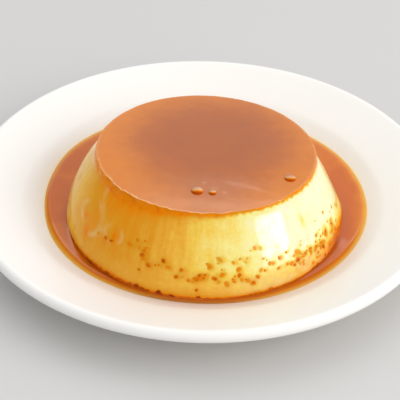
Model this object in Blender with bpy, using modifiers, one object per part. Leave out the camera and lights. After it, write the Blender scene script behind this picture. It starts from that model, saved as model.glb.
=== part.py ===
"""A creme caramel turned out on its plate: a turned porcelain plate, a slumped round custard, the
caramel film on the custard's top and the pool of thin caramel round its foot.

Metres, +Z up. The origin is the centre of the foot ring, on the table. The custard stands forward of
the plate's centre, towards -Y.
"""

import math

import bmesh
import bpy
from mathutils import Vector

# Plate
PLATE_RADIUS = 0.0809
LIP_RADIUS = 0.0020  # half the thickness of the rounded lip
LIP_CENTRE_Z = 0.0154
RIM_SLOPE = math.radians(21.5)
RIM_FOOT_RADIUS = 0.0630  # where the straight rim begins
WELL_RADIUS = 0.0525  # the flat floor of the well
WELL_Z = 0.0066
WELL_THICKNESS = 0.0042
FOOT_RADIUS = 0.0500
FOOT_WIDTH = 0.0034
FOOT_ROUNDING = 0.0006
SHOULDER_WIDTH = 0.0030  # where the underside of the rim turns into the foot ring
PLATE_STEPS = 72

# Custard, measured about its own axis
CUSTARD_CENTRE = Vector((0.0004, -0.0087, 0.0))
CUSTARD_TOP_RADIUS = 0.0360
CUSTARD_WAIST_RADIUS = 0.0468  # the widest place, just above the caramel
CUSTARD_FOOT_RADIUS = 0.0436
CUSTARD_WAIST_Z = 0.0100
CUSTARD_TOP_Z = 0.0331  # the custard's own rim, under the caramel film
CUSTARD_DISH = 0.0007  # how far the middle of the top sinks
CUSTARD_EDGE = 0.0005
SIDE_BULGE = 0.10  # how far the side bows out of a straight cone, as a share of its spread
CUSTARD_STEPS = 64

# How the soft custard leans: it slopes down to the right and to the back, and sags to the left
TILT_RIGHT = math.radians(-1.0)
TILT_BACK = math.radians(-2.0)
SAG_LEFT = 0.0009
OVAL = 0.004  # how far it is from round, as shares of the radius: two-lobed, then three-lobed
TRIANGLE = 0.003
TRIANGLE_TURN = 1.0

# Caramel
FILM_THICKNESS = 0.0010
FILM_OVERHANG = 0.0003
FILM_DISH = 0.0002  # how far the middle of its top sinks
POOL_Z = 0.0085
POOL_EDGE_WIDTH = 0.0018  # the width over which the pool's outer edge rounds down
POOL_EDGE_DROP = 0.0004
POOL_STEPS = 80
GAP = 0.0003  # kept between pieces that rest on each other

# Points on each curved stretch
ARC_POINTS = 7
SIDE_POINTS = 9
DISH_POINTS = 4
VERGE_POINTS = 7
POOL_EDGE_POINTS = 4


def clear_scene():
    for obj in list(bpy.data.objects):
        bpy.data.objects.remove(obj, do_unlink=True)


def collection_named(name):
    found = bpy.data.collections.new(name)
    bpy.context.scene.collection.children.link(found)
    return found


def material_named(name, colour, roughness):
    material = bpy.data.materials.new(name)
    material.use_nodes = True
    shader = material.node_tree.nodes["Principled BSDF"]
    shader.inputs["Base Color"].default_value = (*colour, 1.0)
    shader.inputs["Roughness"].default_value = roughness
    shader.inputs["Metallic"].default_value = 0.0
    return material


def between(start, end, count):
    """count values from start to end, both included."""
    return [start + (end - start) * i / (count - 1) for i in range(count)]


def arc(centre_r, centre_z, radius, start_deg, end_deg, count=ARC_POINTS):
    """Points (r, z) along an arc, with 0 degrees pointing outwards and 90 up."""
    angles = [math.radians(a) for a in between(start_deg, end_deg, count)]
    return [(centre_r + radius * math.cos(a), centre_z + radius * math.sin(a)) for a in angles]


def lathe(name, profile, steps):
    """A mesh object turned about Z from a profile of (r, z) that runs from the axis over the top,
    down the outer side and back to the axis."""
    mesh = bpy.data.meshes.new(name + "_profile")
    edges = [(i, i + 1) for i in range(len(profile) - 1)]
    mesh.from_pydata([(r, 0.0, z) for r, z in profile], edges, [])
    guide = bpy.data.objects.new(name + "_profile", mesh)
    bpy.context.scene.collection.objects.link(guide)
    screw = guide.modifiers.new("turn", "SCREW")
    screw.steps = screw.render_steps = steps
    screw.use_merge_vertices = True
    screw.merge_threshold = 1e-5
    screw.use_normal_calculate = True
    graph = bpy.context.evaluated_depsgraph_get()
    turned = bpy.data.meshes.new_from_object(guide.evaluated_get(graph))
    bpy.data.objects.remove(guide)
    bm = bmesh.new()
    bm.from_mesh(turned)
    bmesh.ops.remove_doubles(bm, verts=bm.verts, dist=1e-6)
    bmesh.ops.recalc_face_normals(bm, faces=bm.faces)
    bm.to_mesh(turned)
    bm.free()
    turned.shade_smooth()
    turned.set_sharp_from_angle(angle=math.radians(50))
    return bpy.data.objects.new(name, turned)


def rim_z(r):
    """Height of the straight rim's top surface, which runs at RIM_SLOPE into the lip."""
    lip_r = PLATE_RADIUS - LIP_RADIUS - LIP_RADIUS * math.sin(RIM_SLOPE)
    lip_z = LIP_CENTRE_Z + LIP_RADIUS * math.cos(RIM_SLOPE)
    return lip_z - (lip_r - r) * math.tan(RIM_SLOPE)


def plate_top_z(r):
    """Height of the plate's eating surface: a flat well, a verge and a straight rim."""
    if r <= WELL_RADIUS:
        return WELL_Z
    if r >= RIM_FOOT_RADIUS:
        return rim_z(r)
    width = RIM_FOOT_RADIUS - WELL_RADIUS
    t = (r - WELL_RADIUS) / width
    rise = rim_z(RIM_FOOT_RADIUS) - WELL_Z
    return WELL_Z + rise * (3 * t**2 - 2 * t**3) + width * math.tan(RIM_SLOPE) * (t**3 - t**2)


def plate_profile():
    """The well, verge and rim from the axis outwards, the lip, the underside and the foot ring."""
    slope = math.degrees(RIM_SLOPE)
    top = [(0.0, WELL_Z)]
    top += [(r, plate_top_z(r)) for r in between(WELL_RADIUS, RIM_FOOT_RADIUS, VERGE_POINTS)]
    lip = arc(PLATE_RADIUS - LIP_RADIUS, LIP_CENTRE_Z, LIP_RADIUS, 90 + slope, slope - 90)
    under_z = WELL_Z - WELL_THICKNESS
    under_r = lip[-1][0] - (lip[-1][1] - under_z) / math.tan(RIM_SLOPE)
    shoulder_z = under_z + SHOULDER_WIDTH * math.tan(RIM_SLOPE)
    shoulder = [(under_r + SHOULDER_WIDTH, shoulder_z), (FOOT_RADIUS, under_z)]
    outer = arc(FOOT_RADIUS - FOOT_ROUNDING, FOOT_ROUNDING, FOOT_ROUNDING, 0, -90, 3)
    inner_r = FOOT_RADIUS - FOOT_WIDTH + FOOT_ROUNDING
    inner = arc(inner_r, FOOT_ROUNDING, FOOT_ROUNDING, -90, -180, 3)
    base = [(FOOT_RADIUS - FOOT_WIDTH, under_z), (0.0, under_z)]
    return top + lip + shoulder + outer + inner + base


def make_plate():
    plate = lathe("plate", plate_profile(), PLATE_STEPS)
    plate.data.materials.append(material_named("glazed_porcelain", (0.88, 0.85, 0.80), 0.15))
    return plate


def side_radius(t):
    """Radius of the custard's side, from 0 at its top rim to 1 at its waist."""
    bowed = t + SIDE_BULGE * math.sin(math.pi * t)
    return CUSTARD_TOP_RADIUS + (CUSTARD_WAIST_RADIUS - CUSTARD_TOP_RADIUS) * min(bowed, 1.0)


def custard_top_z(r):
    """Height of the custard's gently dished top."""
    return CUSTARD_TOP_Z - CUSTARD_DISH * (1 - (r / CUSTARD_TOP_RADIUS) ** 2)


def custard_profile(grown=0.0):
    """The dished top, the bowed side and the tucked-in foot. grown moves the side outwards."""
    inner = CUSTARD_TOP_RADIUS - CUSTARD_EDGE
    top = [(r, custard_top_z(r)) for r in between(0.0, inner, DISH_POINTS)]
    edge_z = custard_top_z(inner) - CUSTARD_EDGE
    side = []
    for t in between(0.0, 1.0, SIDE_POINTS):
        side.append((side_radius(t) + grown, edge_z + (CUSTARD_WAIST_Z - edge_z) * t))
    foot_z = WELL_Z + GAP
    foot = []
    for a in between(0.0, math.pi / 2, ARC_POINTS)[1:]:
        tuck = (CUSTARD_WAIST_RADIUS - CUSTARD_FOOT_RADIUS) * (1 - math.cos(a))
        fall = (CUSTARD_WAIST_Z - foot_z) * math.sin(a)
        foot.append((CUSTARD_WAIST_RADIUS - tuck + grown, CUSTARD_WAIST_Z - fall))
    return top + side + foot + [(0.0, foot_z)]


def slump(mesh):
    """Moves a mesh turned about Z to the custard's place, and leans it as the soft custard leans.
    The foot stays level; the lean grows from the waist up."""
    rise = CUSTARD_TOP_Z - CUSTARD_WAIST_Z
    for vertex in mesh.vertices:
        x, y, z = vertex.co
        height = max((z - CUSTARD_WAIST_Z) / rise, 0.0)
        turn = math.atan2(y, x)
        out_of_round = 1 + OVAL * math.cos(2 * turn) + TRIANGLE * math.cos(3 * turn + TRIANGLE_TURN)
        sag = SAG_LEFT * math.sin(math.pi * min(height, 1.0))
        lift = height * (x * math.tan(TILT_RIGHT) + y * math.tan(TILT_BACK))
        vertex.co = Vector((x * out_of_round - sag, y * out_of_round, z + lift)) + CUSTARD_CENTRE


def make_custard():
    custard = lathe("custard", custard_profile(), CUSTARD_STEPS)
    slump(custard.data)
    custard.data.materials.append(material_named("baked_custard", (0.80, 0.55, 0.16), 0.30))
    return custard


def film_profile():
    """The film lies on the custard's top, with a rounded bead at its edge."""
    bead = FILM_THICKNESS / 2
    rim_r = CUSTARD_TOP_RADIUS + FILM_OVERHANG - bead
    low_z = CUSTARD_TOP_Z + GAP
    high_z = low_z + FILM_THICKNESS
    top = [(r, high_z - FILM_DISH * (1 - (r / rim_r) ** 2)) for r in between(0.0, rim_r, DISH_POINTS)]
    edge = arc(rim_r, low_z + bead, bead, 90, -90)[1:]
    under = [(r, custard_top_z(r) + GAP) for r in between(rim_r - bead, 0.0, DISH_POINTS)]
    return top + edge + under


def make_film():
    film = lathe("caramel_film", film_profile(), CUSTARD_STEPS)
    slump(film.data)
    film.data.materials.append(material_named("caramel", (0.55, 0.19, 0.05), 0.08))
    return film


def pool_edge_radius():
    """Where the plate's surface comes up to the underside of the pool's thin edge."""
    low, high = WELL_RADIUS, RIM_FOOT_RADIUS
    for _ in range(40):
        middle = (low + high) / 2
        if plate_top_z(middle) + GAP < POOL_Z - POOL_EDGE_DROP:
            low = middle
        else:
            high = middle
    return low


def pool_profile():
    """A level disc that fills the well, rounded down at its edge and lying on the verge."""
    edge_r = pool_edge_radius()
    top = [(0.0, POOL_Z)]
    for t in between(0.0, 1.0, POOL_EDGE_POINTS):
        drop = POOL_EDGE_DROP * (1 - math.sqrt(1 - t**2))
        top.append((edge_r - POOL_EDGE_WIDTH * (1 - t), POOL_Z - drop))
    under = [(r, plate_top_z(r) + GAP) for r in between(edge_r, WELL_RADIUS, VERGE_POINTS)[1:]]
    return top + under + [(0.0, WELL_Z + GAP)]


def make_pool(cutters):
    """The pool stands round the custard, so the custard's foot, grown by the gap, is cut out of it.
    The cutter's own foot reaches down past the pool's underside."""
    pool = lathe("caramel_pool", pool_profile(), POOL_STEPS)
    hole = lathe("custard_hole", custard_profile(grown=GAP), CUSTARD_STEPS)
    slump(hole.data)
    for vertex in hole.data.vertices:
        if vertex.co.z < WELL_Z + 1.5 * GAP:
            vertex.co.z -= 2 * GAP
    hole.hide_render = True
    hole.display_type = "WIRE"
    cutters.objects.link(hole)
    cut = pool.modifiers.new("custard_stands_here", "BOOLEAN")
    cut.operation = "DIFFERENCE"
    cut.object = hole
    pool.data.materials.append(material_named("liquid_caramel", (0.55, 0.22, 0.07), 0.05))
    return pool


def main():
    clear_scene()
    parts = collection_named("creme_caramel")
    cutters = collection_named("cutters")
    for piece in (make_plate(), make_custard(), make_film(), make_pool(cutters)):
        parts.objects.link(piece)


main()
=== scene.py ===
"""The looks of a creme caramel on its plate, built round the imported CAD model.

Glazed porcelain, a moist baked custard with soaked edges and small caramel-filled pits, the glossy
caramel film on its top and the pool of thin caramel round its foot. Metres, +Z up. An azimuth is in
degrees about the custard's axis, from the front (-Y) towards the right (+X).
"""

import math
import random

import bmesh
import bpy
import numpy as np
from mathutils import Matrix, Vector, noise


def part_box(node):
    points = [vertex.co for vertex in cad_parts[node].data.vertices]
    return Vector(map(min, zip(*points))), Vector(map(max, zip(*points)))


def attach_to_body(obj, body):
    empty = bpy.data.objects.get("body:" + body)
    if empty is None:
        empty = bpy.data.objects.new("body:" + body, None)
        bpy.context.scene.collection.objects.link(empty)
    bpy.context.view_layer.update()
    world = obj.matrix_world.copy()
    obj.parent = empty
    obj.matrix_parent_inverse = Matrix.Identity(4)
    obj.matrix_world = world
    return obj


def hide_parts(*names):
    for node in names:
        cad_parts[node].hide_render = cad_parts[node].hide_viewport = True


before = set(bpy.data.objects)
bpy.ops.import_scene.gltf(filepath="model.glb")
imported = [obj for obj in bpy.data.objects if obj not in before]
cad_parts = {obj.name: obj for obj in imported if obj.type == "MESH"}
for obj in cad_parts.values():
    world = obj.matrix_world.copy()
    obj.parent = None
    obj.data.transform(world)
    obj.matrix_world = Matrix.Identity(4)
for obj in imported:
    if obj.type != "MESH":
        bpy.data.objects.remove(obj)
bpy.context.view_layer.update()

MM = 0.001

# Places and sizes read from the frame
PLATE_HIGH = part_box("plate")[1]
CUSTARD_LOW, CUSTARD_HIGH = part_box("custard")
POOL_LOW, POOL_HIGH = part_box("caramel_pool")
GAP = 0.3 * MM  # left between the CAD's nodes
WELL_Z = POOL_LOW.z - GAP
POOL_Z = POOL_HIGH.z
PLATE_RADIUS = PLATE_HIGH.x
CENTRE = Vector(((CUSTARD_LOW.x + CUSTARD_HIGH.x) / 2, (CUSTARD_LOW.y + CUSTARD_HIGH.y) / 2, 0.0))
WAIST_RADIUS = (CUSTARD_HIGH.x - CUSTARD_LOW.x) / 2

# The plate's section, as in the CAD
LIP_RADIUS = 2.0 * MM
LIP_CENTRE_Z = 15.4 * MM
RIM_SLOPE = math.radians(21.5)
RIM_FOOT_RADIUS = 63.0 * MM
WELL_RADIUS = 52.5 * MM
WELL_THICKNESS = 4.2 * MM
FOOT_RADIUS = 50.0 * MM
FOOT_WIDTH = 3.4 * MM
FOOT_ROUNDING = 0.6 * MM
SHOULDER_WIDTH = 3.0 * MM
PLATE_STEPS = 288

# The custard's section and lean, as in the CAD
TOP_RADIUS = 36.0 * MM
FOOT_TUCK = 3.2 * MM
WAIST_Z = 10.0 * MM
TOP_Z = 33.1 * MM
TOP_DISH = 0.7 * MM
EDGE_ROUNDING = 0.4 * MM
SIDE_BULGE = 0.10
TILT_RIGHT = math.radians(-1.0)
TILT_BACK = math.radians(-2.0)
SAG_LEFT = 0.9 * MM
OVAL = 0.004
TRIANGLE = 0.003
TRIANGLE_TURN = 1.0
CUSTARD_STEPS = 640
SIDE_ROWS = 112

# The caramel film, which sags over the custard's edge at the front
CROWN_FOOT_Z = 30.0 * MM
CROWN_Z = 33.8 * MM
CROWN_RADIUS = 36.2 * MM
CROWN_SLOPE = -0.42
FILM_RADIUS = 36.3 * MM
FILM_THICKNESS = 1.0 * MM
FILM_DISH = 0.2 * MM
FILM_ROUNDING = 0.24 * MM
SAG_START = 14.0 * MM
SAG_FRONT = 0.95 * MM
SAG_BEHIND = 0.15 * MM
FILM_STEPS = 480
FILM_TOP_ROWS = 62
FILM_ROUND_ROWS = 10
COVERED_ROWS = 7  # rows of the film's rounding that the soaked custard covers

POOL_STEPS = 480
POOL_ROWS = 44

SHARP_ANGLE = math.radians(50.0)  # faces that meet at a greater angle keep a crisp edge
SEED = 11


def between(start, end, count):
    """Evenly spaced numbers, both ends among them."""
    return [start + (end - start) * i / (count - 1) for i in range(count)]


def smooth(low, high, x):
    """0 below low, 1 above high, and an S-curve between."""
    t = np.clip((np.asarray(x, float) - low) / (high - low), 0.0, 1.0)
    return t * t * (3 - 2 * t)


def hill(x, middle, width):
    """A bell curve, 1 at the middle."""
    return np.exp(-(((np.asarray(x, float) - middle) / width) ** 2))


def turn_from(azimuth, middle):
    """Degrees from middle to azimuth, the short way round."""
    return (np.asarray(azimuth, float) - middle + 180.0) % 360.0 - 180.0


def facing(azimuth, middle, width):
    """A bell curve over azimuths, 1 at the middle one."""
    return hill(turn_from(azimuth, middle), 0, width)


def ripple(points, size, seed):
    """Smooth noise, about -1 to 1, at each of the points, with lumps of the given size."""
    shift = Vector((seed * 7.3, seed * 3.1, seed * 5.7))
    return np.array([noise.noise(Vector(p) / size + shift) for p in points])


def arc(centre_r, centre_z, radius, start_deg, end_deg, count):
    """Points of an arc in a section, as (radius, height)."""
    angles = [math.radians(a) for a in between(start_deg, end_deg, count)]
    return [(centre_r + radius * math.cos(a), centre_z + radius * math.sin(a)) for a in angles]


def add_object(name, data):
    """A new object in the scene."""
    made = bpy.data.objects.new(name, data)
    bpy.context.scene.collection.objects.link(made)
    return made


def new_piece(name, vertices, faces, material):
    """A smooth-shaded mesh object of one material, with its normals outward."""
    mesh = bpy.data.meshes.new(name)
    mesh.from_pydata([tuple(v) for v in vertices], [], faces)
    mesh.validate()
    bm = bmesh.new()
    bm.from_mesh(mesh)
    bmesh.ops.recalc_face_normals(bm, faces=bm.faces)
    bm.to_mesh(mesh)
    bm.free()
    mesh.shade_smooth()
    mesh.set_sharp_from_angle(angle=SHARP_ANGLE)
    mesh.materials.append(material)
    return add_object(name, mesh)


def ring_faces(rows, steps):
    """Quads between neighbouring rings of a grid whose vertices run ring by ring."""
    faces = []
    for row in range(rows - 1):
        for step in range(steps):
            after = (step + 1) % steps
            a, b = row * steps + step, row * steps + after
            faces.append((a, b, b + steps, a + steps))
    return faces


def fan(tip, ring, steps):
    """Triangles from a tip to a ring of vertices, whose first is given."""
    return [(tip, ring + step, ring + (step + 1) % steps) for step in range(steps)]


def capped(rings, start, end):
    """Vertices and faces of a closed form: rings of points, and a point beyond each end of them."""
    steps = len(rings[0])
    tip = len(rings) * steps
    faces = ring_faces(len(rings), steps) + fan(tip, 0, steps) + fan(tip + 1, tip - steps, steps)
    return np.concatenate([*rings, np.array([start, end])]), faces


def turned(profile, steps):
    """Vertices and faces of a closed turned form; the profile's two ends lie on the axis."""
    turns = np.arange(steps) * (2 * math.pi / steps)
    rings = []
    for r, z in profile[1:-1]:
        rings.append(np.stack([r * np.sin(turns), -r * np.cos(turns), np.full(steps, z)], -1))
    return capped(rings, (0.0, 0.0, profile[0][1]), (0.0, 0.0, profile[-1][1]))


def store(piece, name, values):
    """Keeps a number for each vertex, which the piece's material reads."""
    made = piece.data.attributes.new(name, "FLOAT", "POINT")
    made.data.foreach_set("value", np.asarray(values, np.float32))


# ---- nodes


def new_material(name):
    material = bpy.data.materials.new(name)
    material.use_nodes = True
    return material, material.node_tree, material.node_tree.nodes["Principled BSDF"]


def put(tree, made, inputs):
    """Fills a node's inputs, by name or number: each is linked to an output, or takes a value."""
    for key, value in inputs.items():
        if isinstance(value, bpy.types.NodeSocket):
            tree.links.new(value, made.inputs[key])
        else:
            made.inputs[key].default_value = value


def node(tree, kind, inputs=None, **settings):
    """A new node; the settings are the node's own properties."""
    made = tree.nodes.new(kind)
    for key, value in settings.items():
        setattr(made, key, value)
    put(tree, made, inputs or {})
    return made


def attribute(tree, name):
    """A number kept for each vertex by store()."""
    return node(tree, "ShaderNodeAttribute", attribute_name=name).outputs["Fac"]


def place(tree):
    """Places on the piece in metres; each piece's origin is the model's."""
    return node(tree, "ShaderNodeTexCoord").outputs["Object"]


def noise_of(tree, scale, detail=3.0, roughness=0.5, vector=None, distortion=0.0):
    inputs = {"Scale": scale, "Detail": detail, "Roughness": roughness, "Distortion": distortion}
    inputs["Vector"] = vector or place(tree)
    return node(tree, "ShaderNodeTexNoise", inputs).outputs["Fac"]


def span(tree, value, low, high, to_low=0.0, to_high=1.0):
    """Maps low..high to to_low..to_high with an S-curve, and holds the ends."""
    inputs = {"Value": value, "From Min": low, "From Max": high, "To Min": to_low, "To Max": to_high}
    return node(tree, "ShaderNodeMapRange", inputs, interpolation_type="SMOOTHSTEP").outputs["Result"]


def varied(tree, scale, low, high, **settings):
    """Noise of a scale (lumps a metre), stretched to run from low to high."""
    return span(tree, noise_of(tree, scale, **settings), 0.3, 0.7, low, high)


def maths(tree, operation, a, b=0.0):
    return node(tree, "ShaderNodeMath", {0: a, 1: b}, operation=operation).outputs["Value"]


def vector_maths(tree, operation, a, b=(0.0, 0.0, 0.0)):
    return node(tree, "ShaderNodeVectorMath", {0: a, 1: b}, operation=operation).outputs["Vector"]


def total(tree, first, *rest):
    return maths(tree, "ADD", first, total(tree, *rest)) if rest else first


def product(tree, a, b):
    return maths(tree, "MULTIPLY", a, b)


def blend(tree, factor, a, b):
    """Mixes two colours: a where the factor is 0, b where it is 1."""
    return node(tree, "ShaderNodeMix", {"Factor": factor, 6: a, 7: b}, data_type="RGBA").outputs[2]


def blend_value(tree, factor, a, b):
    """Mixes two numbers as blend does colours."""
    return node(tree, "ShaderNodeMix", {"Factor": factor, 2: a, 3: b}, data_type="FLOAT").outputs[0]


def ramp(tree, value, stops):
    """A colour ramp from (position, colour) pairs."""
    made = node(tree, "ShaderNodeValToRGB", {"Fac": value})
    elements = made.color_ramp.elements
    while len(elements) < len(stops):
        elements.new(0.5)
    for element, (position, colour) in zip(elements, stops):
        element.position = position
        element.color = (*colour, 1.0)
    return made.outputs["Color"]


def bump(tree, height, distance, strength):
    inputs = {"Height": height, "Distance": distance, "Strength": strength}
    return node(tree, "ShaderNodeBump", inputs).outputs["Normal"]


def rgba(r, g, b):
    return (r, g, b, 1.0)


# ---- plate


def rim_z(r):
    """Height of the straight rim's top, which meets the lip's arc."""
    lip_r = PLATE_RADIUS - LIP_RADIUS - LIP_RADIUS * math.sin(RIM_SLOPE)
    lip_z = LIP_CENTRE_Z + LIP_RADIUS * math.cos(RIM_SLOPE)
    return lip_z - (lip_r - r) * math.tan(RIM_SLOPE)


def plate_top_z(r):
    """Height of the plate's eating surface: a flat well, a verge and a straight rim."""
    if r <= WELL_RADIUS:
        return WELL_Z
    if r >= RIM_FOOT_RADIUS:
        return rim_z(r)
    width = RIM_FOOT_RADIUS - WELL_RADIUS
    t = (r - WELL_RADIUS) / width
    rise = rim_z(RIM_FOOT_RADIUS) - WELL_Z
    return WELL_Z + rise * (3 * t**2 - 2 * t**3) + width * math.tan(RIM_SLOPE) * (t**3 - t**2)


def plate_profile():
    """The plate's section from the middle of its top, round the lip, to the middle of its underside."""
    slope = math.degrees(RIM_SLOPE)
    top = [(r, WELL_Z) for r in between(0.0, WELL_RADIUS, 9)]
    top += [(r, plate_top_z(r)) for r in between(WELL_RADIUS, RIM_FOOT_RADIUS, 22)[1:]]
    lip = arc(PLATE_RADIUS - LIP_RADIUS, LIP_CENTRE_Z, LIP_RADIUS, 90 + slope, slope - 90, 25)
    top += [(r, rim_z(r)) for r in between(RIM_FOOT_RADIUS, lip[0][0], 10)[1:-1]]
    under_z = WELL_Z - WELL_THICKNESS
    lip_r, lip_z = lip[-1]
    under_r = lip_r - (lip_z - under_z) / math.tan(RIM_SLOPE)
    shoulder_r = under_r + SHOULDER_WIDTH
    shoulder_z = under_z + SHOULDER_WIDTH * math.tan(RIM_SLOPE)
    under = list(zip(between(lip_r, shoulder_r, 8), between(lip_z, shoulder_z, 8)))[1:]
    under.append((FOOT_RADIUS, under_z))
    outer = arc(FOOT_RADIUS - FOOT_ROUNDING, FOOT_ROUNDING, FOOT_ROUNDING, 0, -90, 7)
    inner_r = FOOT_RADIUS - FOOT_WIDTH + FOOT_ROUNDING
    inner = arc(inner_r, FOOT_ROUNDING, FOOT_ROUNDING, -90, -180, 7)
    base = [(FOOT_RADIUS - FOOT_WIDTH, under_z), (FOOT_RADIUS - 2 * FOOT_WIDTH, under_z), (0.0, under_z)]
    return top + lip + under + outer + inner + base


def porcelain():
    """White glaze with a faint warm tint and soft unevenness, bare of glaze on the foot ring."""
    material, tree, shader = new_material("porcelain")
    cloud = noise_of(tree, 35.0, detail=2.0)
    glaze = blend(tree, cloud, rgba(0.893, 0.880, 0.846), rgba(0.913, 0.904, 0.875))
    # A trace of caramel by the pool, and painted warm shade on the plate in front of it
    stain_and_shade = product(tree, attribute(tree, "stain_and_shade"), varied(tree, 120.0, 0.8, 1.0))
    colour = blend(tree, stain_and_shade, glaze, rgba(0.84, 0.62, 0.28))
    bare = attribute(tree, "bare")
    colour = blend(tree, bare, colour, rgba(0.72, 0.69, 0.63))
    speckle = span(tree, noise_of(tree, 900.0, detail=1.0), 0.35, 0.75, 0.29, 0.33)
    put(tree, shader, {
        "Base Color": colour,
        "Roughness": blend_value(tree, bare, speckle, 0.6),
        "IOR": 1.5,
        "Specular IOR Level": 0.28,
        "Normal": bump(tree, noise_of(tree, 60.0, detail=1.0), 0.25 * MM, 0.25),
    })
    return material


def make_plate():
    """The glazed plate, tinted by a trace of caramel beyond the pool's edge, with painted warm shade on
    its front.
    """
    vertices, faces = turned(plate_profile(), PLATE_STEPS)
    piece = new_piece("plate_glazed", vertices, faces, porcelain())
    r = np.hypot(vertices[:, 0], vertices[:, 1])
    turn = np.degrees(np.arctan2(vertices[:, 1], vertices[:, 0]))
    past = (r - pool_edge(turn)) / MM
    left = facing(turn, 172, 26)
    front = facing(turn, 272, 42)
    fade = 0.8 + 0.9 * left
    halo = (0.45 + 0.30 * left - 0.25 * front) * np.exp(-np.maximum(past + 0.3, 0.0) / fade)
    # Painted shade: a wide warm tint on the plate in front of the pool, where the custard shades it and
    # casts orange light
    halo += 0.12 * front * np.exp(-np.maximum(past, 0.0) / 9.0)
    store(piece, "stain_and_shade", np.where(vertices[:, 2] > WELL_Z, halo, 0.0))
    store(piece, "bare", smooth(0.25 * MM, 0.05 * MM, vertices[:, 2]))
    return piece


# ---- custard

# Painted light in this table: the tone is paler on the right, where the window lights the side, and
# deeper on the shaded left
# How deeply the body is baked round the custard: azimuth, and tone from 0, pale, to 1, deep golden
BAKED_AND_LIT_TONE = [
    (-180, 0.72), (-120, 0.80), (-75, 0.68), (-57, 1.04), (-38, 1.00), (-20, 0.84), (0, 0.45), (14, 0.31),
    (25, 0.16), (40, 0.03), (74, 0.03), (95, 0.15), (115, 0.40), (150, 0.62), (180, 0.72),
]
FOOT_TONE = 0.34  # tone added at the foot
FOOT_KEEPS = 0.40  # how much of the tone above is left at the foot
TAN_TONE = 0.55
TORN_TONE = 1.20
# How far caramel has crept up from the foot: azimuth, and the height over which it fades (mm)
CREPT = [
    (-180, 0.85), (-75, 0.90), (-48, 1.25), (-20, 0.95), (0, 1.25), (22, 0.80), (44, 1.20), (76, 0.90),
    (110, 0.85), (180, 0.85),
]
SOAKED_TONE = 1.37
# The dark line at the foot is painted contact shade, darkening the caramel-soaked foot
FOOT_SHADE_TONE = 1.76  # the dark line at the foot
DEEPEST_TONE = 2.0
HALO_REACH = 6.0  # degrees either side of a pit that it can tint

# Blots of caramel on the side: azimuth, height above the pool (mm), half-width across (mm),
# half-height (mm), strength
BLOTS = [
    (-84, 16.6, 1.1, 1.2, 0.85), (-61, 13.5, 1.0, 1.1, 1.00), (-57.5, 8.9, 1.3, 2.6, 0.95),
    (-41, 13.9, 1.2, 2.2, 1.00), (-45, 11.5, 1.4, 1.0, 0.70), (-38, 22.0, 3.0, 2.0, 0.40),
    (50, 16.4, 1.1, 2.4, 0.26), (63, 8.0, 1.8, 2.0, 0.35), (70, 6.0, 2.4, 2.2, 0.45),
    (58, 4.6, 3.2, 1.6, 0.18), (118, 12.0, 1.4, 3.0, 0.50), (150, 9.0, 2.0, 2.4, 0.45),
    (-112, 15.0, 1.4, 3.2, 0.55), (-140, 8.0, 2.2, 2.0, 0.50), (172, 17.0, 1.6, 3.6, 0.40),
]

# Raised edges of thin runs, painted pale as a highlight: azimuth and height (mm) at one end, the same at
# the other, sideways bow (degrees), half-width (mm), how raised (mm)
RUNS = [
    (-56, 20.0, -55.5, 8.5, 6.5, 1.7, 0.17), (-63, 18.0, -62, 11.0, -4.0, 1.4, 0.04),
    (-55, 24.5, -51, 18.5, -2.6, 0.95, 0.10), (-44.5, 17.0, -43, 11.0, -3.0, 0.95, 0.10),
    (-39.0, 16.8, -38.5, 12.0, 1.5, 0.75, 0.05), (132, 25.0, 128, 8.0, 3.0, 0.90, 0.16),
    (-150, 22.0, -146, 11.0, -3.0, 0.90, 0.14), (96, 21.0, 99, 12.0, 2.0, 0.70, 0.12),
]


def cad_side_radius(z):
    """Radius of the CAD's side at heights between its waist and its top rim."""
    edge_z = TOP_Z - EDGE_ROUNDING
    t = np.clip((edge_z - np.asarray(z, float)) / (edge_z - WAIST_Z), 0.0, 1.0)
    bowed = np.minimum(t + SIDE_BULGE * np.sin(math.pi * t), 1.0)
    return TOP_RADIUS + (WAIST_RADIUS - TOP_RADIUS) * bowed


def side_outline(z):
    """Radius of the side at heights from its foot to the crown, where the film rounds over it."""
    z = np.asarray(z, float)
    width = CROWN_Z - CROWN_FOOT_Z
    t = np.clip((z - CROWN_FOOT_Z) / width, 0.0, 1.0)
    start = float(cad_side_radius(CROWN_FOOT_Z))
    slope = (float(cad_side_radius(CROWN_FOOT_Z + 0.1 * MM)) - start) / (0.1 * MM)
    crown = (2 * t**3 - 3 * t**2 + 1) * start + (t**3 - 2 * t**2 + t) * slope * width
    crown += (3 * t**2 - 2 * t**3) * CROWN_RADIUS + (t**3 - t**2) * CROWN_SLOPE * width
    drop = np.clip((WAIST_Z - z) / (WAIST_Z - WELL_Z - GAP), 0.0, 1.0)
    tuck = FOOT_TUCK * (1 - np.sqrt(1 - drop**2))
    return np.where(z > CROWN_FOOT_Z, crown, cad_side_radius(z)) - tuck


def custard_top_z(r):
    """Height of the custard's dished top, under the film."""
    return TOP_Z - TOP_DISH * (1 - (r / TOP_RADIUS) ** 2)


def lean_at(x, y):
    """How much the tilt lifts the custard's top edge at a place given from its axis."""
    return x * math.tan(TILT_RIGHT) + y * math.tan(TILT_BACK)


def slumped(points):
    """Leans points turned about Z as the soft custard leans, and moves them to its place."""
    x, y, z = points[:, 0], points[:, 1], points[:, 2]
    height = np.maximum((z - WAIST_Z) / (TOP_Z - WAIST_Z), 0.0)
    turn = np.arctan2(y, x)
    out = 1 + OVAL * np.cos(2 * turn) + TRIANGLE * np.cos(3 * turn + TRIANGLE_TURN)
    sag = SAG_LEFT * np.sin(math.pi * np.minimum(height, 1.0))
    lift = height * lean_at(x, y)
    return np.stack([x * out - sag, y * out, z + lift], -1) + np.array(CENTRE)


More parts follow.
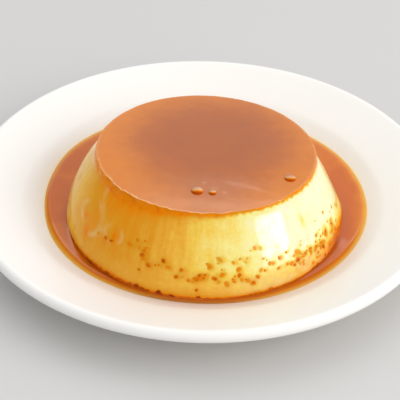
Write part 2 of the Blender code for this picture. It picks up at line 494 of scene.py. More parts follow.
def heading(azimuth):
    """Level directions out from the axis."""
    a = np.radians(azimuth)
    return np.stack([np.sin(a), -np.cos(a), 0 * a], -1)


def from_axis(points):
    """Places of points in plan from the custard's axis, as x and y."""
    return points[:, 0] - CENTRE.x, points[:, 1] - CENTRE.y


def places_on_side(points):
    """Azimuth, height above the pool (mm) and depth below the film's edge (mm) of points on the side."""
    x, y = from_axis(points)
    below = (TOP_Z + lean_at(x, y) - points[:, 2]) / MM
    return np.degrees(np.arctan2(x, -y)), (points[:, 2] - POOL_Z) / MM, below


def round_side(azimuth, middle):
    """Distance round the side (mm) from the middle azimuth."""
    return turn_from(azimuth, middle) * math.pi / 180 * (WAIST_RADIUS / MM)


def run_lines(azimuth, height):
    """How much of a raised run's edge is at each place, and how high it stands (mm)."""
    pale = np.zeros(len(azimuth))
    raised = np.zeros(len(azimuth))
    for az0, h0, az1, h1, bow, half_width, tall in RUNS:
        t = np.clip((height - h0) / (h1 - h0), 0.0, 1.0)
        path = az0 + (az1 - az0) * t + bow * np.sin(math.pi * t)
        sideways = round_side(azimuth, path)
        ends = smooth(h1 - 0.8, h1 + 1.2, height) * (1 - smooth(h0 - 1.5, h0 + 0.6, height))
        line = hill(sideways, 0, half_width) * ends
        pale = np.maximum(pale, line)
        raised = np.maximum(raised, line * tall)
    return pale, raised


def side_relief(points):
    """How far the side swells out at each point, in metres: soft lumps, run edges and rough spots."""
    azimuth, height, below = places_on_side(points)
    swell = 0.10 * ripple(points, 9 * MM, 3) + 0.025 * ripple(points, 2.5 * MM, 4)
    lumps = 0.30 * roughness_of(azimuth, height) * ripple(points, 1.2 * MM, 12)
    rim = 0.55 * ripple(points, 3.0 * MM, 19) + 0.28 * ripple(points, 1.2 * MM, 13)
    rim *= hill(below, 0.0, 1.1)
    rim *= 0.35 + 0.65 * facing(azimuth, -30, 50)
    pinch = 0.4 * facing(azimuth, 72, 24) * smooth(14.0, 4.0, height)
    return (swell + lumps + rim - pinch + run_lines(azimuth, height)[1]) * MM


def roughness_of(azimuth, height):
    """Where the side is pitted and torn, from 0 to 1."""
    rough = facing(azimuth, 50, 14) * hill(height, 5.5, 4.0)
    rough = np.maximum(rough, 0.6 * facing(azimuth, 36, 10) * hill(height, 11.0, 2.4))
    return np.maximum(rough, 0.35 * facing(azimuth, 150, 30) * hill(height, 5.0, 3.0))


def side_points(azimuth, z):
    """Points on the custard's uneven side, from azimuths and heights before it leans."""
    level = heading(azimuth)
    points = level * np.reshape(side_outline(z), (-1, 1))
    points[:, 2] = z
    points = slumped(points)
    return points + level * side_relief(points)[:, None]


def side_normals(azimuth, z):
    """Outward normals of the side, leaving its fine unevenness out."""
    slope = (side_outline(z + 0.1 * MM) - side_outline(z - 0.1 * MM)) / (0.2 * MM)
    normals = heading(azimuth)
    normals[:, 2] = -slope
    return normals / np.linalg.norm(normals, axis=1)[:, None]


def soak_of(points):
    """How much caramel has soaked into each point of the custard, from 0 to 1."""
    azimuth, height, below = places_on_side(points)
    streak = ripple(np.stack([azimuth * 0.9, height * 0.12, 0 * height], -1), 2.6, 1)
    fine = ripple(points / MM, 1.3, 2)
    front_left = facing(azimuth, -40, 26)
    blotchy = ripple(points / MM, 3.0, 23)
    reach = 0.40 + 1.7 * front_left + (0.2 + 0.8 * front_left) * streak + 0.2 * fine
    right_rim = smooth(0, 32, azimuth) * smooth(150, 100, azimuth)
    flat = 0.30 - 0.32 * right_rim + 1.5 * front_left + 0.3 * fine + 1.0 * front_left * blotchy
    rim = np.exp(-np.maximum(below - flat, 0) / np.maximum(reach, 0.25))
    wash = 0.32 * front_left * np.exp(-below / 8.0) * (1 + 0.6 * streak)
    foot_right = facing(azimuth, 70, 18)
    foot_reach = np.interp(azimuth, *zip(*CREPT)) + 0.2 * streak + 0.25 * fine
    foot_flat = 0.9 + 2.7 * foot_right + 1.2 * foot_right * ripple(points / MM, 2.2, 25)
    foot = np.exp(-np.maximum(height - foot_flat, 0) / np.maximum(foot_reach, 0.25))
    soak = np.maximum(rim, foot) + wash
    for az, h, across, up, strength in BLOTS:
        sideways = round_side(azimuth, az)
        blot = np.exp(-((sideways / across) ** 2 + ((height - h) / up) ** 2))
        soak = np.maximum(soak, strength * blot * (1 + 0.35 * fine))
    return np.clip(soak, 0.0, 1.0)


def tone_of(points, pits):
    """Depth of colour at each point of the custard: 0 pale yellow, 1 golden, 1.5 caramel, 2 burnt."""
    azimuth, height, _ = places_on_side(points)
    # Baked tone round the side, with painted light: paler on the lit right, deeper on the shaded left
    tone = np.interp(azimuth, *zip(*BAKED_AND_LIT_TONE)) + 0.06 * ripple(points / MM, 7.0, 5)
    fine = ripple(points / MM, 1.1, 18)

    # Evened out towards the foot, and tanned at the front right of it
    foot_tone = FOOT_TONE + 0.18 * facing(azimuth, 3, 13)
    tone += (foot_tone + FOOT_KEEPS * tone - tone) * smooth(11.0, 2.5, height)
    tone += np.maximum(TAN_TONE - tone, 0.0) * 0.85 * tan_of(azimuth, height)

    # Soaked with caramel at the top edge, the foot and the blots
    soaked = SOAKED_TONE + 0.07 * facing(azimuth, -42, 26)
    soaked += 0.24 * facing(azimuth, 72, 17) * smooth(9.0, 4.0, height)
    tone += (soaked - tone) * soak_of(points)

    # The dark line at the foot, painted contact shade where the custard meets the pool, taller at the
    # left and right
    right = facing(azimuth, 76, 17)
    left = facing(azimuth, -46, 34)
    line = 0.52 + 0.34 * left + 0.44 * right
    line = line * smooth(1.7, 0.8, height - 0.9 * left - 1.7 * right) * (0.9 + 0.6 * fine)
    tone += (FOOT_SHADE_TONE - tone) * np.clip(line, 0.0, 1.0)

    # Torn patches, and a faint halo round each pit
    torn = roughness_of(azimuth, height) * smooth(0.05, 0.45, ripple(points / MM, 1.7, 22))
    tone += np.maximum(TORN_TONE - tone, 0.0) * 0.50 * torn
    for az, h, radius, deep in pits:
        near = np.abs(turn_from(azimuth, az)) < HALO_REACH
        sideways = round_side(azimuth[near], az)
        halo = np.exp(-(sideways**2 + (height[near] - h) ** 2) / (1.15 * radius) ** 2)
        tone[near] += np.maximum(0.30 * (pit_tone(deep) - tone[near]), 0.0) * halo
    return tone


def tan_of(azimuth, height):
    """Where the side is tanned near its foot, at the front right."""
    return facing(azimuth, 36, 22) * smooth(8.0, 4.2, height)


def tone_colour(tree, tone):
    """Colour of baked custard and caramel by tone."""
    stops = [
        (0.0, (0.86, 0.82, 0.57)), (0.125, (0.865, 0.775, 0.285)), (0.25, (0.875, 0.595, 0.092)),
        (0.375, (0.83, 0.42, 0.044)), (0.5, (0.785, 0.34, 0.018)), (0.70, (0.87, 0.25, 0.002)),
        (0.85, (0.60, 0.115, 0.003)), (1.0, (0.28, 0.040, 0.002)),
    ]
    return ramp(tree, maths(tree, "DIVIDE", tone, DEEPEST_TONE), stops)


def streaks(tree):
    """Upright streaks: noise that runs round the custard's axis and hardly changes with height."""
    offset = vector_maths(tree, "SUBTRACT", place(tree), tuple(CENTRE))
    parts = node(tree, "ShaderNodeSeparateXYZ", {0: offset})
    level = node(tree, "ShaderNodeCombineXYZ", {"X": parts.outputs["X"], "Y": parts.outputs["Y"]})
    round_axis = vector_maths(tree, "NORMALIZE", level.outputs[0])
    rise = node(tree, "ShaderNodeCombineXYZ", {"Z": product(tree, parts.outputs["Z"], 2.4)})
    path = vector_maths(tree, "ADD", round_axis, rise.outputs[0])
    return noise_of(tree, 24.0, roughness=0.62, vector=path)


def custard_material():
    """Moist baked custard: pale yellow, golden where it browned, orange where caramel soaked in; painted
    highlights.
    """
    material, tree, shader = new_material("custard")
    grain = varied(tree, 900.0, -0.04, 0.04, roughness=0.6)
    mottle = varied(tree, 260.0, -0.05, 0.05)
    streak = span(tree, streaks(tree), 0.3, 0.7, -1.0, 1.0)
    streak = product(tree, attribute(tree, "streaky"), streak)
    tone = total(tree, attribute(tree, "tone"), grain, mottle, streak)
    # Painted highlights: cream where the side catches the light
    pale = product(tree, attribute(tree, "pale"), varied(tree, 260.0, 0.22, 0.72))
    pores = node(tree, "ShaderNodeTexVoronoi", {"Vector": place(tree), "Scale": 1500.0})
    dents = product(tree, span(tree, pores.outputs["Distance"], 0.0, 0.35), 0.12)
    torn = product(tree, attribute(tree, "rough"), product(tree, noise_of(tree, 1000.0), 2.5))
    relief = total(tree, dents, noise_of(tree, 380.0), torn)
    put(tree, shader, {
        "Base Color": blend(tree, pale, tone_colour(tree, tone), rgba(0.80, 0.59, 0.26)),
        "Subsurface Weight": 0.35,
        "Subsurface Radius": (1.0, 0.55, 0.18),
        "Subsurface Scale": 2.0 * MM,
        "Roughness": span(tree, noise_of(tree, 120.0), 0.35, 0.7, 0.05, 0.10),
        "IOR": 1.38,
        "Specular IOR Level": 0.11,
        "Normal": bump(tree, relief, 0.10 * MM, 0.30),
    })
    return material


def make_custard(pits):
    """The baked body: its hidden top, the soaked edge that hugs the film, its side and tucked foot."""
    azimuth = np.arange(CUSTARD_STEPS) * 360.0 / CUSTARD_STEPS
    level = heading(azimuth)
    rings = []
    for r in between(8 * MM, TOP_RADIUS - 1.2 * MM, 4):
        rings.append(slumped(level * r + np.array((0.0, 0.0, custard_top_z(r)))))
    edge = FILM_TOP_ROWS + FILM_ROUND_ROWS
    for r, z in film_sections(azimuth)[edge - COVERED_ROWS : edge]:
        ragged = (0.04 + 0.06 * ripple(level * r[:, None], 0.9 * MM, 24)) * MM
        rings.append(film_ring(azimuth, r + ragged, z))
    under_film_z = film_edge_z(azimuth) - 0.05 * MM
    for t in between(0.0, 1.0, SIDE_ROWS):
        rings.append(side_points(azimuth, under_film_z + (WAIST_Z - under_film_z) * t))
    foot_z = WELL_Z + GAP
    for a in between(0.0, math.pi / 2, 18)[1:]:
        rings.append(side_points(azimuth, WAIST_Z - (WAIST_Z - foot_z) * math.sin(a)))
    top = Vector((0.0, 0.0, custard_top_z(0.0))) + CENTRE
    foot = Vector((0.0, 0.0, foot_z)) + CENTRE
    vertices, faces = capped(rings, top, foot)
    piece = new_piece("custard_baked", vertices, faces, custard_material())
    store(piece, "tone", tone_of(vertices, pits))
    azimuth, height, below = places_on_side(vertices)
    # Painted highlights and reflections in cream: on the left silhouette, along the run edges and low on
    # the lit front right
    lit = 0.8 * facing(azimuth, -84, 9) * hill(height, 20.5, 3.6)
    lit = np.maximum(lit, 0.75 * facing(azimuth, -98, 22) * hill(height, 12.0, 9.0))
    lit = np.maximum(lit, tan_of(azimuth, height) * smooth(0.9, 2.6, height))
    store(piece, "pale", np.maximum(0.7 * run_lines(azimuth, height)[0], lit))
    browned = 0.02 + 0.10 * facing(azimuth, -34, 30) + 0.10 * facing(azimuth, 180, 70)
    store(piece, "streaky", browned * smooth(3.0, 12.0, height) * smooth(0.5, 4.0, below))
    store(piece, "rough", roughness_of(azimuth, height))
    return piece


# ---- specks

# Where the pits lie: middle azimuth, middle height (mm), spread in each, how many, mean radius (mm),
# mean depth of colour from 0 to 1
PIT_FIELDS = [
    (-44, 10.5, 4, 1.8, 5, 0.50, 0.72), (-28, 12.6, 5, 1.8, 8, 0.56, 0.72),
    (-17, 8.6, 5, 2.4, 10, 0.60, 0.75), (-4, 5.4, 2.6, 1.1, 6, 0.62, 0.80),
    (1, 8.4, 2.8, 1.2, 7, 0.66, 0.66), (1, 12.0, 5, 0.8, 2, 0.72, 0.20),
    (10, 8.8, 2.2, 1.6, 4, 0.56, 0.45), (9, 4.9, 2.2, 0.8, 4, 0.56, 0.74),
    (17, 9.0, 3.0, 1.9, 8, 0.60, 0.60), (18, 5.2, 3.0, 0.9, 6, 0.60, 0.80),
    (22, 12.0, 4.5, 1.4, 4, 0.50, 0.12), (27, 7.8, 2.4, 1.2, 5, 0.56, 0.66),
    (34, 8.4, 3.4, 1.8, 8, 0.50, 0.66), (43, 6.2, 4.2, 1.6, 14, 0.50, 0.66),
    (50, 6.4, 4.0, 1.8, 14, 0.52, 0.74), (58, 5.8, 4.0, 1.9, 13, 0.52, 0.80),
    (66, 4.2, 7.0, 1.3, 18, 0.66, 0.62), (69, 7.0, 4.5, 1.8, 10, 0.48, 0.50),
    (52, 12.0, 9, 2.2, 6, 0.34, 0.06), (95, 7.0, 14, 2.8, 24, 0.52, 0.62),
    (130, 6.0, 14, 2.4, 22, 0.52, 0.66), (165, 8.0, 16, 3.0, 18, 0.52, 0.62),
    (-160, 6.5, 14, 2.6, 20, 0.52, 0.66), (-125, 9.0, 16, 3.0, 16, 0.52, 0.68),
    (-92, 7.0, 14, 2.6, 10, 0.50, 0.68), (-64, 6.5, 9, 2.0, 4, 0.44, 0.70),
]
LARGEST_PIT = 1.3  # radius (mm)
FOOT_DOTS = 96  # all round the foot
RIM_DOTS = 30  # under the film's edge at the right
SPECK_STEPS = 18
SPECK_ROWS = 6


def pit_tone(deep):
    """Tone of the caramel in a pit by its depth of colour."""
    return 0.66 + 1.10 * deep


def scatter_pits(rng):
    """Caramel-filled pits: azimuth, height above the pool (mm), radius (mm), depth of colour."""
    pits = []
    for azimuth, height, spread_az, spread_h, count, radius, deep in PIT_FIELDS:
        for _ in range(count):
            az = rng.gauss(azimuth, spread_az)
            h = abs(rng.gauss(height, spread_h)) + 0.6
            size = min(1.2 * radius * rng.lognormvariate(0.0, 0.28), LARGEST_PIT)
            pits.append((az, h, size, min(max(rng.gauss(deep, 0.16), 0.0), 1.0)))
    for i in range(FOOT_DOTS):
        az = 360 * (i + rng.uniform(-1.6, 1.6)) / FOOT_DOTS
        deep = rng.uniform(1.00, 1.25) - 0.35 * float(facing(az, 30, 26))
        h = rng.uniform(0.2, 1.3) + 0.55 * float(facing(az, -28, 26))
        pits.append((az, h, rng.uniform(0.45, 1.20), deep))
    for i in range(RIM_DOTS):
        az = -5.0 + 150.0 * (i + rng.uniform(-0.8, 0.8)) / RIM_DOTS
        h = (TOP_Z - POOL_Z + side_lean(az)) / MM - rng.uniform(0.0, 0.9)
        pits.append((az, h, rng.uniform(0.25, 0.55), rng.uniform(0.20, 0.60)))
    return pits


def side_lean(azimuth):
    """How much the tilt lifts the film's edge at an azimuth."""
    a = math.radians(azimuth)
    return TOP_RADIUS * lean_at(math.sin(a), -math.cos(a))


def upright(azimuth, height):
    """Height (m) before the custard leans of a place given by its height above the pool (mm)."""
    z = POOL_Z + height * MM
    lean = side_lean(azimuth) / (TOP_Z - WAIST_Z)
    return (z + lean * WAIST_Z) / (1 + lean) if z > WAIST_Z else z


def make_specks(pits, rng):
    """The caramel in the pits: shallow uneven drops almost flush with the side."""
    azimuths, heights, domes, cores, faces = [], [], [], [], []
    for az, h, radius, _ in pits:
        wide = radius * rng.uniform(0.95, 1.45)
        tall = radius * rng.uniform(0.72, 1.0)
        spin = rng.uniform(-0.6, 0.6)
        seed = Vector((rng.random() * 50, rng.random() * 50, 0.0))
        z = upright(az, h)
        start = len(azimuths)
        for row in range(1, SPECK_ROWS + 1):
            t = row / SPECK_ROWS
            for step in range(SPECK_STEPS):
                a = 2 * math.pi * step / SPECK_STEPS
                wobble = 1 + 0.24 * noise.noise(Vector((math.cos(a), math.sin(a), 0.0)) * 0.9 + seed)
                u = t * wobble * wide * math.cos(a)
                v = t * wobble * tall * math.sin(a)
                across = u * math.cos(spin) - v * math.sin(spin)
                up = u * math.sin(spin) + v * math.cos(spin)
                azimuths.append(az + math.degrees(across * MM / WAIST_RADIUS))
                heights.append(z + up * MM)
                domes.append(0.05 * (1 - t * t) - 0.01)
                cores.append(float(smooth(1.0, 0.45, t)))
        tip, under = len(azimuths), len(azimuths) + 1
        azimuths += [az, az]
        heights += [z, z]
        domes += [0.04, -0.12]
        cores += [1.0, 0.0]
        for a, b, c, d in ring_faces(SPECK_ROWS, SPECK_STEPS):
            faces.append((start + a, start + d, start + c, start + b))
        faces += fan(tip, start, SPECK_STEPS) + fan(under, tip - SPECK_STEPS, SPECK_STEPS)
    azimuths = np.array(azimuths)
    heights = np.array(heights)
    surface = side_points(azimuths, heights)
    vertices = surface + side_normals(azimuths, heights) * np.array(domes)[:, None] * MM
    piece = new_piece("custard_specks", vertices, faces, speck_material())
    around = tone_of(surface, pits)
    deep = np.repeat([pit_tone(pit[3]) for pit in pits], SPECK_ROWS * SPECK_STEPS + 2)
    store(piece, "tone", around + np.maximum(deep - around, 0.0) * np.array(cores))
    return piece


def speck_material():
    """Caramel caught in the pits: dark brown where deep, yellow-orange where shallow."""
    material, tree, shader = new_material("pit_caramel")
    fleck = varied(tree, 1400.0, -0.08, 0.08, detail=2.0)
    put(tree, shader, {
        "Base Color": tone_colour(tree, total(tree, attribute(tree, "tone"), fleck)),
        "Subsurface Weight": 0.2,
        "Subsurface Radius": (1.0, 0.5, 0.15),
        "Subsurface Scale": 1.0 * MM,
        "Roughness": varied(tree, 700.0, 0.25, 0.45),
        "IOR": 1.38,
        "Specular IOR Level": 0.05,
        "Normal": bump(tree, noise_of(tree, 2200.0), 0.05 * MM, 0.25),
    })
    return material


# ---- caramel film

# Bubbles that set in the film: place from the film's middle (mm), radius (mm), height (mm)
BUBBLES = [(-2.6, -25.0, 1.95, 1.35), (2.2, -25.6, 1.30, 0.90), (27.0, -15.8, 1.9, 1.00)]
BUBBLE_STEPS = 40
BUBBLE_ROWS = 16
BUBBLE_SUNK = 0.04  # how far a bubble's foot lies under the film's top (mm)
# Low swellings left by smaller ones: place, radius and height (mm)
SWELLINGS = [
    (-0.6, -19.6, 1.3, 0.12), (2.6, -22.6, 1.4, 0.16), (6.0, -24.5, 1.1, 0.07), (-9.0, 3.0, 1.6, 0.05),
]


def film_top_z(r, azimuth):
    """Height of the film's top before it leans: dished, and sagging to its edge, most at the front."""
    front = np.maximum(np.cos(np.radians(azimuth)), 0.0) ** 1.5
    sag = SAG_BEHIND + (SAG_FRONT - SAG_BEHIND) * front
    near_edge = np.clip((r - SAG_START) / (FILM_RADIUS - SAG_START), 0.0, 1.0)
    high_z = TOP_Z + GAP + FILM_THICKNESS
    return high_z - FILM_DISH * (1 - (r / FILM_RADIUS) ** 2) - sag * near_edge**2


def film_edge_z(azimuth):
    """Height of the film's lower edge, where it meets the custard's side."""
    top_z = film_top_z(CROWN_RADIUS - FILM_ROUNDING, azimuth)
    level = heading(azimuth)
    ragged = 0.05 + 0.06 * ripple(level, 0.10, 16) + 0.04 * ripple(level, 0.035, 17)
    return top_z - FILM_ROUNDING - ragged * MM


def film_sections(azimuth):
    """The film's rings, as radii and heights: its top, its round edge and its hidden underside."""
    steps = np.ones(len(azimuth))
    rim_r = CROWN_RADIUS - FILM_ROUNDING - 0.05 * MM
    rings = [(steps * r, film_top_z(r, azimuth)) for r in between(1.5 * MM, rim_r, FILM_TOP_ROWS)]
    edge_z = film_top_z(rim_r, azimuth) - FILM_ROUNDING
    side_r = side_outline(edge_z) + 0.06 * MM
    for a in between(math.radians(80), 0.0, FILM_ROUND_ROWS):
        rings.append((side_r - FILM_ROUNDING * (1 - math.cos(a)), edge_z + FILM_ROUNDING * math.sin(a)))
    low_z = film_edge_z(azimuth)
    low_r = side_outline(low_z)
    rings.append((low_r + 0.03 * MM, low_z))
    rings.append((low_r - 0.4 * MM, low_z + 0.02 * MM))
    rings.append((steps * (TOP_RADIUS - 2 * MM), steps * (TOP_Z + 0.05 * MM)))
    return rings


def film_height(x, y):
    """World height of the film's top at a place given from the custard's axis."""
    z = float(film_top_z(math.hypot(x, y), math.degrees(math.atan2(x, -y))))
    return slumped(np.array([[x, y, z]]))[0][2]


def film_relief(x, y):
    """Low waves, creases near the front right and the swellings of small bubbles, in metres."""
    flat = np.stack([x, y, 0 * x], -1)
    crease = np.sin((x * 0.35 + y) / (1.4 * MM) + 2.0 * ripple(flat, 7 * MM, 7))
    creased = hill(x, 13 * MM, 9 * MM) * hill(y, -19.5 * MM, 4.5 * MM)
    relief = (0.05 * ripple(flat, 11 * MM, 6) + 0.085 * crease * creased) * MM
    for sx, sy, radius, tall in SWELLINGS:
        relief += tall * MM * hill(np.hypot(x - sx * MM, y - sy * MM), 0, radius * MM * 0.7)
    return relief * smooth(1.0, 0.93, np.hypot(x, y) / FILM_RADIUS)


def film_ring(azimuth, r, z):
    """Points on the film, from their radii and heights before it leans."""
    level = heading(azimuth)
    flat = level * r[:, None]
    flat[:, 2] = z
    points = slumped(flat)
    points[:, 2] += film_relief(flat[:, 0], flat[:, 1])
    return points + level * (side_relief(points) * smooth(0.93, 0.99, r / CROWN_RADIUS))[:, None]


def make_film():
    """The film: "depth" is how thick it looks, "cloudy" a painted pale reflection on its front, "thin" a
    painted highlight along its rim and "lip" its lower edge."""
    azimuth = np.arange(FILM_STEPS) * 360.0 / FILM_STEPS
    rings = [film_ring(azimuth, r, z) for r, z in film_sections(azimuth)]
    under_z = custard_top_z(0.0) + 0.05 * MM
    middle = slumped(np.array([[0.0, 0.0, float(film_top_z(0.0, 0.0))], [0.0, 0.0, under_z]]))
    vertices, faces = capped(rings, middle[0], middle[1])
    piece = new_piece("caramel_film_glossy", vertices, faces, caramel_film_material())
    x, y = from_axis(vertices)
    depth = smooth(1.12, 0.28, np.hypot(x - 3.0 * MM, y - 5.0 * MM) / FILM_RADIUS)
    # Painted reflection: the film's sagging front is painted darker and milky pink, as if it mirrored the
    # bright sky
    front = smooth(-12 * MM, -22 * MM, y) * hill(x, 2 * MM, 18 * MM)
    store(piece, "depth", depth + 0.30 * front)
    store(piece, "painted_reflection", front)
    edge = (FILM_TOP_ROWS + FILM_ROUND_ROWS - 1) * FILM_STEPS
    outline = np.hypot(x, y)[edge : edge + FILM_STEPS]
    inward = (np.tile(outline, len(rings)) - np.hypot(x, y)[:-2]) / MM
    # Painted highlight: a pale line along the film's rim, strongest at the front left
    painted_rim_highlight = smooth(0.55, 0.28, inward) * smooth(0.05, 0.12, inward)
    painted_rim_highlight *= 0.25 + 0.75 * facing(np.tile(azimuth, len(rings)), -26, 34)
    painted_rim_highlight *= 0.8 + 0.6 * ripple(vertices[:-2] / MM, 1.6, 20)
    store(piece, "painted_rim_highlight", np.append(painted_rim_highlight, (0.0, 0.0)))
    store(piece, "lip", np.append(smooth(0.12, 0.04, inward), (0.0, 0.0)))
    return piece


def caramel_film_material():
    """Glossy caramel over custard: darker where it lies thick, orange where it thins to the edge."""
    material, tree, shader = new_material("caramel_film")
    drift = varied(tree, 45.0, -0.09, 0.09, detail=2.0)
    mottle = varied(tree, 230.0, -0.06, 0.06)
    stops = [
        (0.0, (0.67, 0.190, 0.006)), (0.25, (0.60, 0.162, 0.006)), (0.62, (0.46, 0.110, 0.008)),
        (1.0, (0.39, 0.093, 0.010)),
    ]
    colour = ramp(tree, total(tree, attribute(tree, "depth"), drift, mottle), stops)
    # Painted reflection: milky pink over the film's front
    painted_reflection = product(tree, attribute(tree, "painted_reflection"), 0.30)
    colour = blend(tree, painted_reflection, colour, rgba(0.60, 0.26, 0.13))
    # Painted highlight: pale peach along the rim
    painted_rim_highlight = product(tree, attribute(tree, "painted_rim_highlight"), 0.9)
    colour = blend(tree, painted_rim_highlight, colour, rgba(0.95, 0.60, 0.29))
    lip = attribute(tree, "lip")
    put(tree, shader, {
        "Base Color": blend(tree, lip, colour, rgba(0.64, 0.135, 0.002)),
        "Roughness": blend_value(tree, lip, varied(tree, 160.0, 0.09, 0.15), 0.40),
        "IOR": 1.45,
        "Normal": bump(tree, noise_of(tree, 150.0, distortion=1.2), 0.12 * MM, 0.25),
    })
    return material


def bubble_material():
    """A fine shell of caramel: painted shade darkens the front of its foot, a painted reflection pales
    its cap.
    """
    material, tree, shader = new_material("caramel_bubble")
    rise = total(tree, attribute(tree, "rise"), varied(tree, 600.0, -0.05, 0.05))
    stops = [
        (0.24, (0.46, 0.060, 0.001)), (0.42, (0.52, 0.085, 0.001)), (0.55, (0.71, 0.20, 0.015)),
        (0.68, (0.76, 0.37, 0.11)), (0.82, (0.63, 0.40, 0.25)), (1.0, (0.56, 0.27, 0.165)),
    ]
    put(tree, shader, {
        "Base Color": ramp(tree, rise, stops),
        "Roughness": varied(tree, 900.0, 0.55, 0.70),
        "IOR": 1.40,
        "Specular IOR Level": 0.03,
    })
    return material


def make_bubbles():
    """Low domes that rise from the film with a soft foot; "rise" grows from the front of the foot up."""
    steps, rows = BUBBLE_STEPS, BUBBLE_ROWS
    vertices, faces, rise = [], [], []
    for bx, by, radius, tall in BUBBLES:
        start = len(vertices)
        for row in range(1, rows + 1):
            t = row / rows
            lift = math.sqrt(max(1 - t * t, 0.0)) ** 1.25
            for step in range(steps):
                a = 2 * math.pi * step / steps
                x = bx * MM + radius * MM * t * math.sin(a)
                y = by * MM - radius * MM * t * math.cos(a)
                z = film_height(x, y) + (tall * lift - BUBBLE_SUNK) * MM
                vertices.append((x + CENTRE.x, y + CENTRE.y, z))
                # Painted light and shade: rise is lowest at the front of the foot, for painted shade, and
                # highest on the cap, for a painted reflection
                rise.append(0.5 - 0.5 * t * math.cos(a) + 0.45 * lift)
        tip = len(vertices)
        top = film_height(bx * MM, by * MM) + (tall - BUBBLE_SUNK) * MM
        vertices.append((bx * MM + CENTRE.x, by * MM + CENTRE.y, top))
        rise.append(0.95)
        for a, b, c, d in ring_faces(rows, steps):
            faces.append((start + a, start + d, start + c, start + b))
        faces += [*fan(tip, start, steps), tuple(range(tip - steps, tip))]
    piece = new_piece("caramel_bubbles", vertices, faces, bubble_material())
    store(piece, "rise", rise)
    return piece


# ---- caramel pool

POOL_EDGE_RADIUS = 56.9 * MM
MENISCUS = 0.40 * MM  # how far the caramel climbs the custard
EDGE_WIDTH = 2.4 * MM  # over which the pool's edge rounds down to the plate
# How the pool's edge strays from its round: turn from +X towards +Y, how far (mm), how wide a stretch
STRAYS = [(185, -1.6, 35), (263, -1.9, 33), (148, 0.7, 18)]


def pool_edge(turn):
    """Radius of the pool's outer edge about the plate's axis; turn is in degrees from +X towards +Y."""
    places = np.stack([np.cos(np.radians(turn)), np.sin(np.radians(turn)), 0 * turn], -1)
    radius = POOL_EDGE_RADIUS + 0.20 * MM * ripple(places, 0.35, 9)
    for middle, far, wide in STRAYS:
        radius += far * MM * facing(turn, middle, wide)
    return radius


def floor_under(flat):
    """Height of the plate's top under places in plan."""
    return np.array([plate_top_z(r) for r in np.hypot(flat[:, 0], flat[:, 1])])


def make_pool():
    """The pool, from the custard's foot out to its edge and back underneath. Its "depth" is in mm,
    and "near" is the painted shade and painted reflection of the custard's dark foot."""
    azimuth = np.arange(POOL_STEPS) * 360.0 / POOL_STEPS
    level = heading(azimuth)[:, :2]
    foot = side_points(azimuth, POOL_Z)[:, :2] - level * 0.30 * MM

    # How far each line out from the foot runs to meet the pool's edge, found by repeated correction
    reach = np.full(POOL_STEPS, POOL_EDGE_RADIUS)
    for _ in range(6):
        outer = foot + level * reach[:, None]
        turn = np.degrees(np.arctan2(outer[:, 1], outer[:, 0]))
        reach += pool_edge(turn) - np.hypot(outer[:, 0], outer[:, 1])
    outer = foot + level * reach[:, None]
    width = np.linalg.norm(outer - foot, axis=1)

    rings, depth = [], []
    climb = MENISCUS * (1 + 1.7 * facing(azimuth, 66, 26) - 0.6 * facing(azimuth, -50, 34))
    for u in between(0.0, 1.0, POOL_ROWS):
        eased = 0.5 - 0.5 * math.cos(math.pi * u)
        flat = foot + (outer - foot) * eased
        floor = floor_under(flat)
        inward = np.minimum(width * (1 - eased) / np.minimum(EDGE_WIDTH, width * 0.8), 1.0)
        roll = (1 - (1 - inward) ** 2) ** 0.65
        surface = POOL_Z + climb * np.exp(-width * eased / (2.2 * climb))
        z = floor + (surface - floor) * roll
        rings.append(np.stack([flat[:, 0], flat[:, 1], z], -1))
        depth.append(z - floor)
    for u in between(1.0, 0.0, 12)[1:]:
        flat = foot + (outer - foot) * u
        floor = floor_under(flat)
        rings.append(np.stack([flat[:, 0], flat[:, 1], floor + 0.02 * MM], -1))
        depth.append(floor * 0)
    vertices = np.concatenate(rings)
    faces = ring_faces(len(rings), POOL_STEPS)
    last = (len(rings) - 1) * POOL_STEPS
    for step in range(POOL_STEPS):
        after = (step + 1) % POOL_STEPS
        faces.append((last + step, last + after, after, step))
    piece = new_piece("caramel_pool_liquid", vertices, faces, pool_material())
    store(piece, "depth", np.concatenate(depth) / MM)
    near = np.hypot(*from_axis(vertices)) - WAIST_RADIUS
    azimuth = places_on_side(vertices)[0]
    right = facing(azimuth, 66, 26)
    front = facing(azimuth, 0, 40)
    fade = (1.6 + 1.6 * right - 0.6 * front) * MM
    store(piece, "near", (0.35 + 0.50 * right + 0.20 * front) * np.exp(-np.maximum(near, 0) / fade))
    return piece


def pool_material():
    """Thin caramel over white porcelain: amber where shallow, red-brown where deep."""
    material, tree, shader = new_material("caramel_pool")
    depth = attribute(tree, "depth")
    drift = varied(tree, 70.0, -0.08, 0.08, detail=2.0)
    value = total(tree, maths(tree, "DIVIDE", depth, 2.0), product(tree, drift, depth))
    stops = [
        (0.0, (0.79, 0.62, 0.32)), (0.07, (0.77, 0.50, 0.14)), (0.20, (0.76, 0.38, 0.030)),
        (0.40, (0.74, 0.28, 0.006)), (0.65, (0.66, 0.180, 0.003)), (1.0, (0.56, 0.118, 0.003)),
    ]
    # Painted shade and reflection of the custard's dark foot, strongest close to it
    near = attribute(tree, "near")
    thin_rough = span(tree, depth, 0.3, 1.5, 0.45, 0.0)
    put(tree, shader, {
        "Base Color": blend(tree, near, ramp(tree, value, stops), rgba(0.42, 0.075, 0.003)),
        "Roughness": total(tree, varied(tree, 220.0, 0.05, 0.10), thin_rough),
        "IOR": 1.42,
        "Normal": bump(tree, noise_of(tree, 90.0, detail=1.0), 0.10 * MM, 0.2),
    })
    return material


# ---- stage

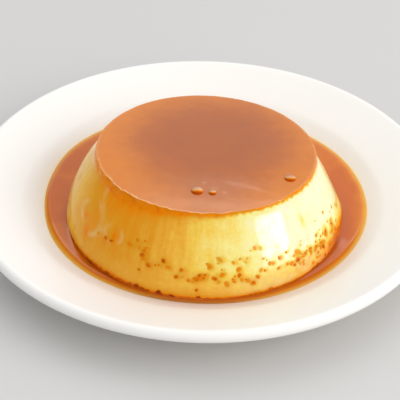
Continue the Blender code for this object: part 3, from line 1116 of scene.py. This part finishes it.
CAMERA_AIM = Vector((-1.2, -13.7, 17.0)) * MM
CAMERA_DISTANCE = 400 * MM
CAMERA_ELEVATION = math.radians(36.26)
CAMERA_ROLL = math.radians(1.23)
CAMERA_LENS = 107.2
WORLD_LIGHT = 0.685  # strength of the surroundings as soft light
WORLD_MIRRORED = 0.15  # and in reflections
FLOOR_SIZE = 6.0


def make_camera():
    """The camera at the photo's viewing angle."""
    data = bpy.data.cameras.new("camera")
    data.lens = CAMERA_LENS
    data.sensor_width = 36.0
    data.clip_start = 0.01
    data.clip_end = 50.0
    camera = add_object("camera", data)
    back = Vector((0.0, -math.cos(CAMERA_ELEVATION), math.sin(CAMERA_ELEVATION)))
    up = Vector((0.0, math.sin(CAMERA_ELEVATION), math.cos(CAMERA_ELEVATION)))
    right = Vector((1.0, 0.0, 0.0))
    turned_right = right * math.cos(CAMERA_ROLL) + up * math.sin(CAMERA_ROLL)
    turned_up = up * math.cos(CAMERA_ROLL) - right * math.sin(CAMERA_ROLL)
    matrix = Matrix((turned_right, turned_up, back)).transposed().to_4x4()
    matrix.translation = CAMERA_AIM + back * CAMERA_DISTANCE
    camera.matrix_world = matrix
    bpy.context.scene.camera = camera


def add_panel(name, azimuth, elevation, distance, size, power, colour, gloss=True, soft=True):
    """A rectangular light that faces the custard from an azimuth and elevation in degrees, with its
    distance and size in metres and its power in watts. It can be left out of the reflections, or of
    the soft light."""
    data = bpy.data.lights.new(name, "AREA")
    data.shape = "RECTANGLE"
    data.size, data.size_y = size
    data.energy = power
    data.color = colour
    lamp = add_object(name, data)
    lamp.visible_glossy = gloss
    lamp.visible_diffuse = soft
    az, el = math.radians(azimuth), math.radians(elevation)
    away = Vector((math.sin(az) * math.cos(el), -math.cos(az) * math.cos(el), math.sin(el)))
    lamp.location = CENTRE + Vector((0.0, 0.0, 20 * MM)) + away * distance
    lamp.rotation_euler = away.to_track_quat("Z", "Y").to_euler()
    return lamp


def make_lights(custard_pieces):
    """Soft light from above, behind and the right, and a window that only the custard mirrors."""
    window = add_panel("window", 61.5, 18, 1.0, (0.45, 0.64), 64.0, (1.0, 0.98, 0.95), soft=False)
    lit = bpy.data.collections.new("lit_by_window")
    for piece in custard_pieces:
        lit.objects.link(piece)
    window.light_linking.receiver_collection = lit
    add_panel("daylight", 62, 30, 1.4, (1.5, 1.1), 12.0, (1.0, 0.98, 0.95), gloss=False)
    add_panel("wall", 180, 25, 1.6, (2.0, 1.0), 6.15, (1.0, 0.98, 0.97), soft=False)
    add_panel("skylight", 180, 53, 1.6, (1.4, 0.8), 5.5, (1.0, 0.99, 0.98), soft=False)
    add_panel("overhead", 180, 70, 1.6, (2.4, 1.6), 8.2, (1.0, 0.99, 0.98), gloss=False)
    world = bpy.data.worlds.new("studio")
    world.use_nodes = True
    tree = world.node_tree
    reflected = node(tree, "ShaderNodeLightPath").outputs["Is Glossy Ray"]
    strength = blend_value(tree, reflected, WORLD_LIGHT, WORLD_MIRRORED)
    put(tree, tree.nodes["Background"], {"Color": rgba(0.97, 0.98, 1.0), "Strength": strength})
    bpy.context.scene.world = world


def make_floor():
    """A plain pale floor, which isn't part of the object."""
    bpy.ops.mesh.primitive_plane_add(size=FLOOR_SIZE, location=(0.0, 0.0, 0.0))
    floor = bpy.context.object
    floor.name = "floor"
    material, tree, shader = new_material("pale_floor")
    colour = blend(tree, noise_of(tree, 3.0), rgba(0.62, 0.61, 0.595), rgba(0.66, 0.65, 0.635))
    put(tree, shader, {"Base Color": colour, "Roughness": 0.7, "Specular IOR Level": 0.0})
    floor.data.materials.append(material)


# ---- making


def attach(piece, slot, *nodes):
    """Puts a piece on the model's one body and hides the CAD nodes it stands for; its material slot is
    not used.
    """
    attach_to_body(piece, "root")
    if nodes:
        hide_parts(*nodes)


make_camera()
make_floor()
attach(make_plate(), "porcelain", "plate")
rng = random.Random(SEED)
pits = scatter_pits(rng)
custard = make_custard(pits)
specks = make_specks(pits, rng)
make_lights([custard, specks])
attach(custard, "custard", "custard")
attach(specks, "caramel")
attach(make_film(), "caramel", "caramel_film")
attach(make_bubbles(), "caramel")
attach(make_pool(), "caramel_pool", "caramel_pool")
bpy.context.scene.view_settings.view_transform = "Standard"
